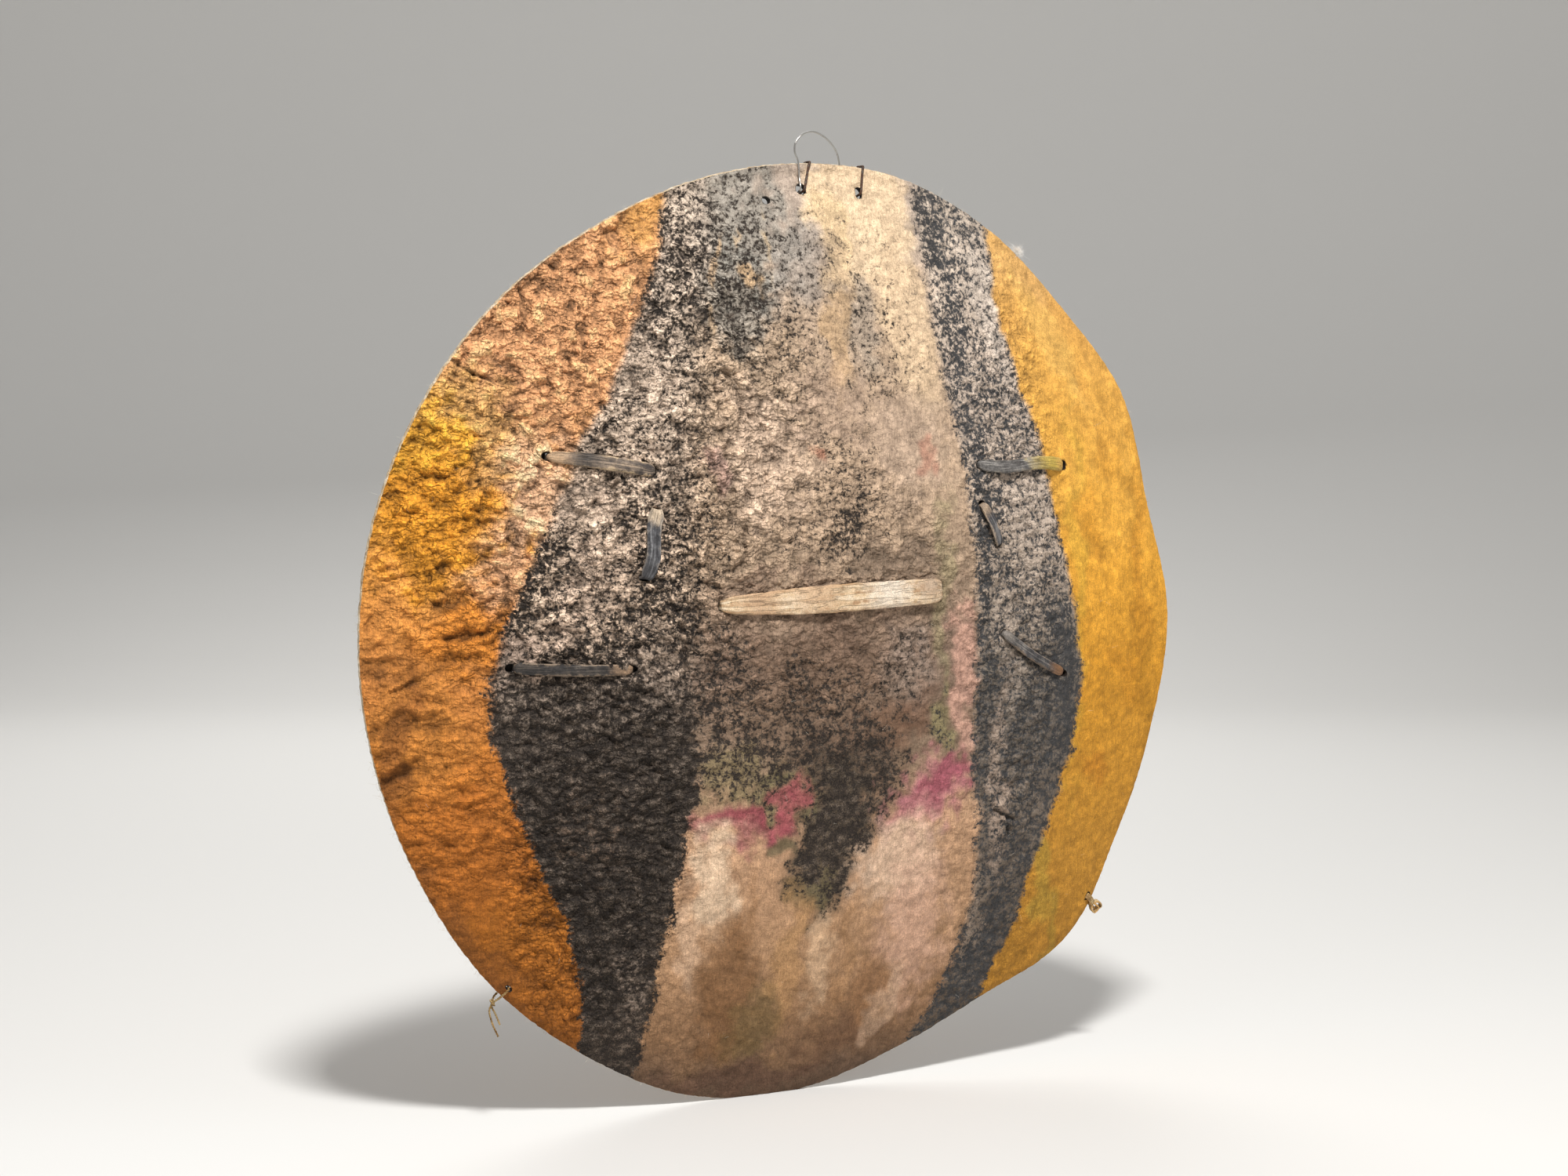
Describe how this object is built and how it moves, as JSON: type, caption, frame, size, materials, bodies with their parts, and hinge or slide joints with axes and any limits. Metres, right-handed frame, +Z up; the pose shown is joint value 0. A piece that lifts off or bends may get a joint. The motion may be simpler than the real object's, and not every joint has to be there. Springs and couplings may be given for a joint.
{
  "type": "painted rawhide shield",
  "caption": "Round domed painted rawhide shield with hide-thong stitches, a hand grip and straps on its hollow back, and a swinging wire hanging loop at the top edge.",
  "frame": {"origin": "middle of the worn flat at the lowest point of the rim, halfway through the hide's thickness", "axes": "+Z up from the worn flat to the hanging loop, -Y out of the painted face, +X to the right of someone who looks at that face"},
  "size_m": [0.5634, 0.0823, 0.5831],
  "materials": {
    "painted_rawhide": "matt earth paint on rawhide",
    "pale_rawhide": "dry scraped rawhide",
    "stained_hide_thong": "stained hide, worn",
    "strap_leather": "worn tanned leather",
    "wrap_leather": "hand-polished leather",
    "sinew": "waxy twisted fibre",
    "rusted_iron_wire": "dull, lightly rusted",
    "bright_steel_wire": "worn bright wire",
    "down": "soft white down"
  },
  "bodies": {
    "shield": {"hide_disc": "painted_rawhide", "grip_band": "pale_rawhide", "grip_wrap": "wrap_leather", "left_arm_strap": "strap_leather", "right_arm_strap": "strap_leather", "carrying_strap": "strap_leather", "left_wire_eye": "rusted_iron_wire", "right_wire_eye": "rusted_iron_wire", "lower_left_sinew_tie": "sinew", "lower_right_hide_knot": "pale_rawhide", "upper_right_down_tuft": "down", "upper_left_thong": "stained_hide_thong", "upper_left_lashing": "sinew", "left_upright_thong": "stained_hide_thong", "left_upright_lashing": "sinew", "lower_left_thong": "stained_hide_thong", "lower_left_lashing": "sinew", "upper_right_thong": "stained_hide_thong", "upper_right_lashing": "sinew", "right_upright_thong": "stained_hide_thong", "right_upright_lashing": "sinew", "lower_right_thong": "stained_hide_thong", "lower_right_lashing": "sinew"},
    "hanging_loop": {"hanging_wire_loop": "bright_steel_wire"}
  },
  "joints": [
    {"name": "loop_swing", "type": "hinge", "parent": "shield", "child": "hanging_loop", "pos_m": [0.0635, 0.0017, 0.5603], "axis": [-1, 0, 0], "range_deg": [-4, 34]}
  ]
}
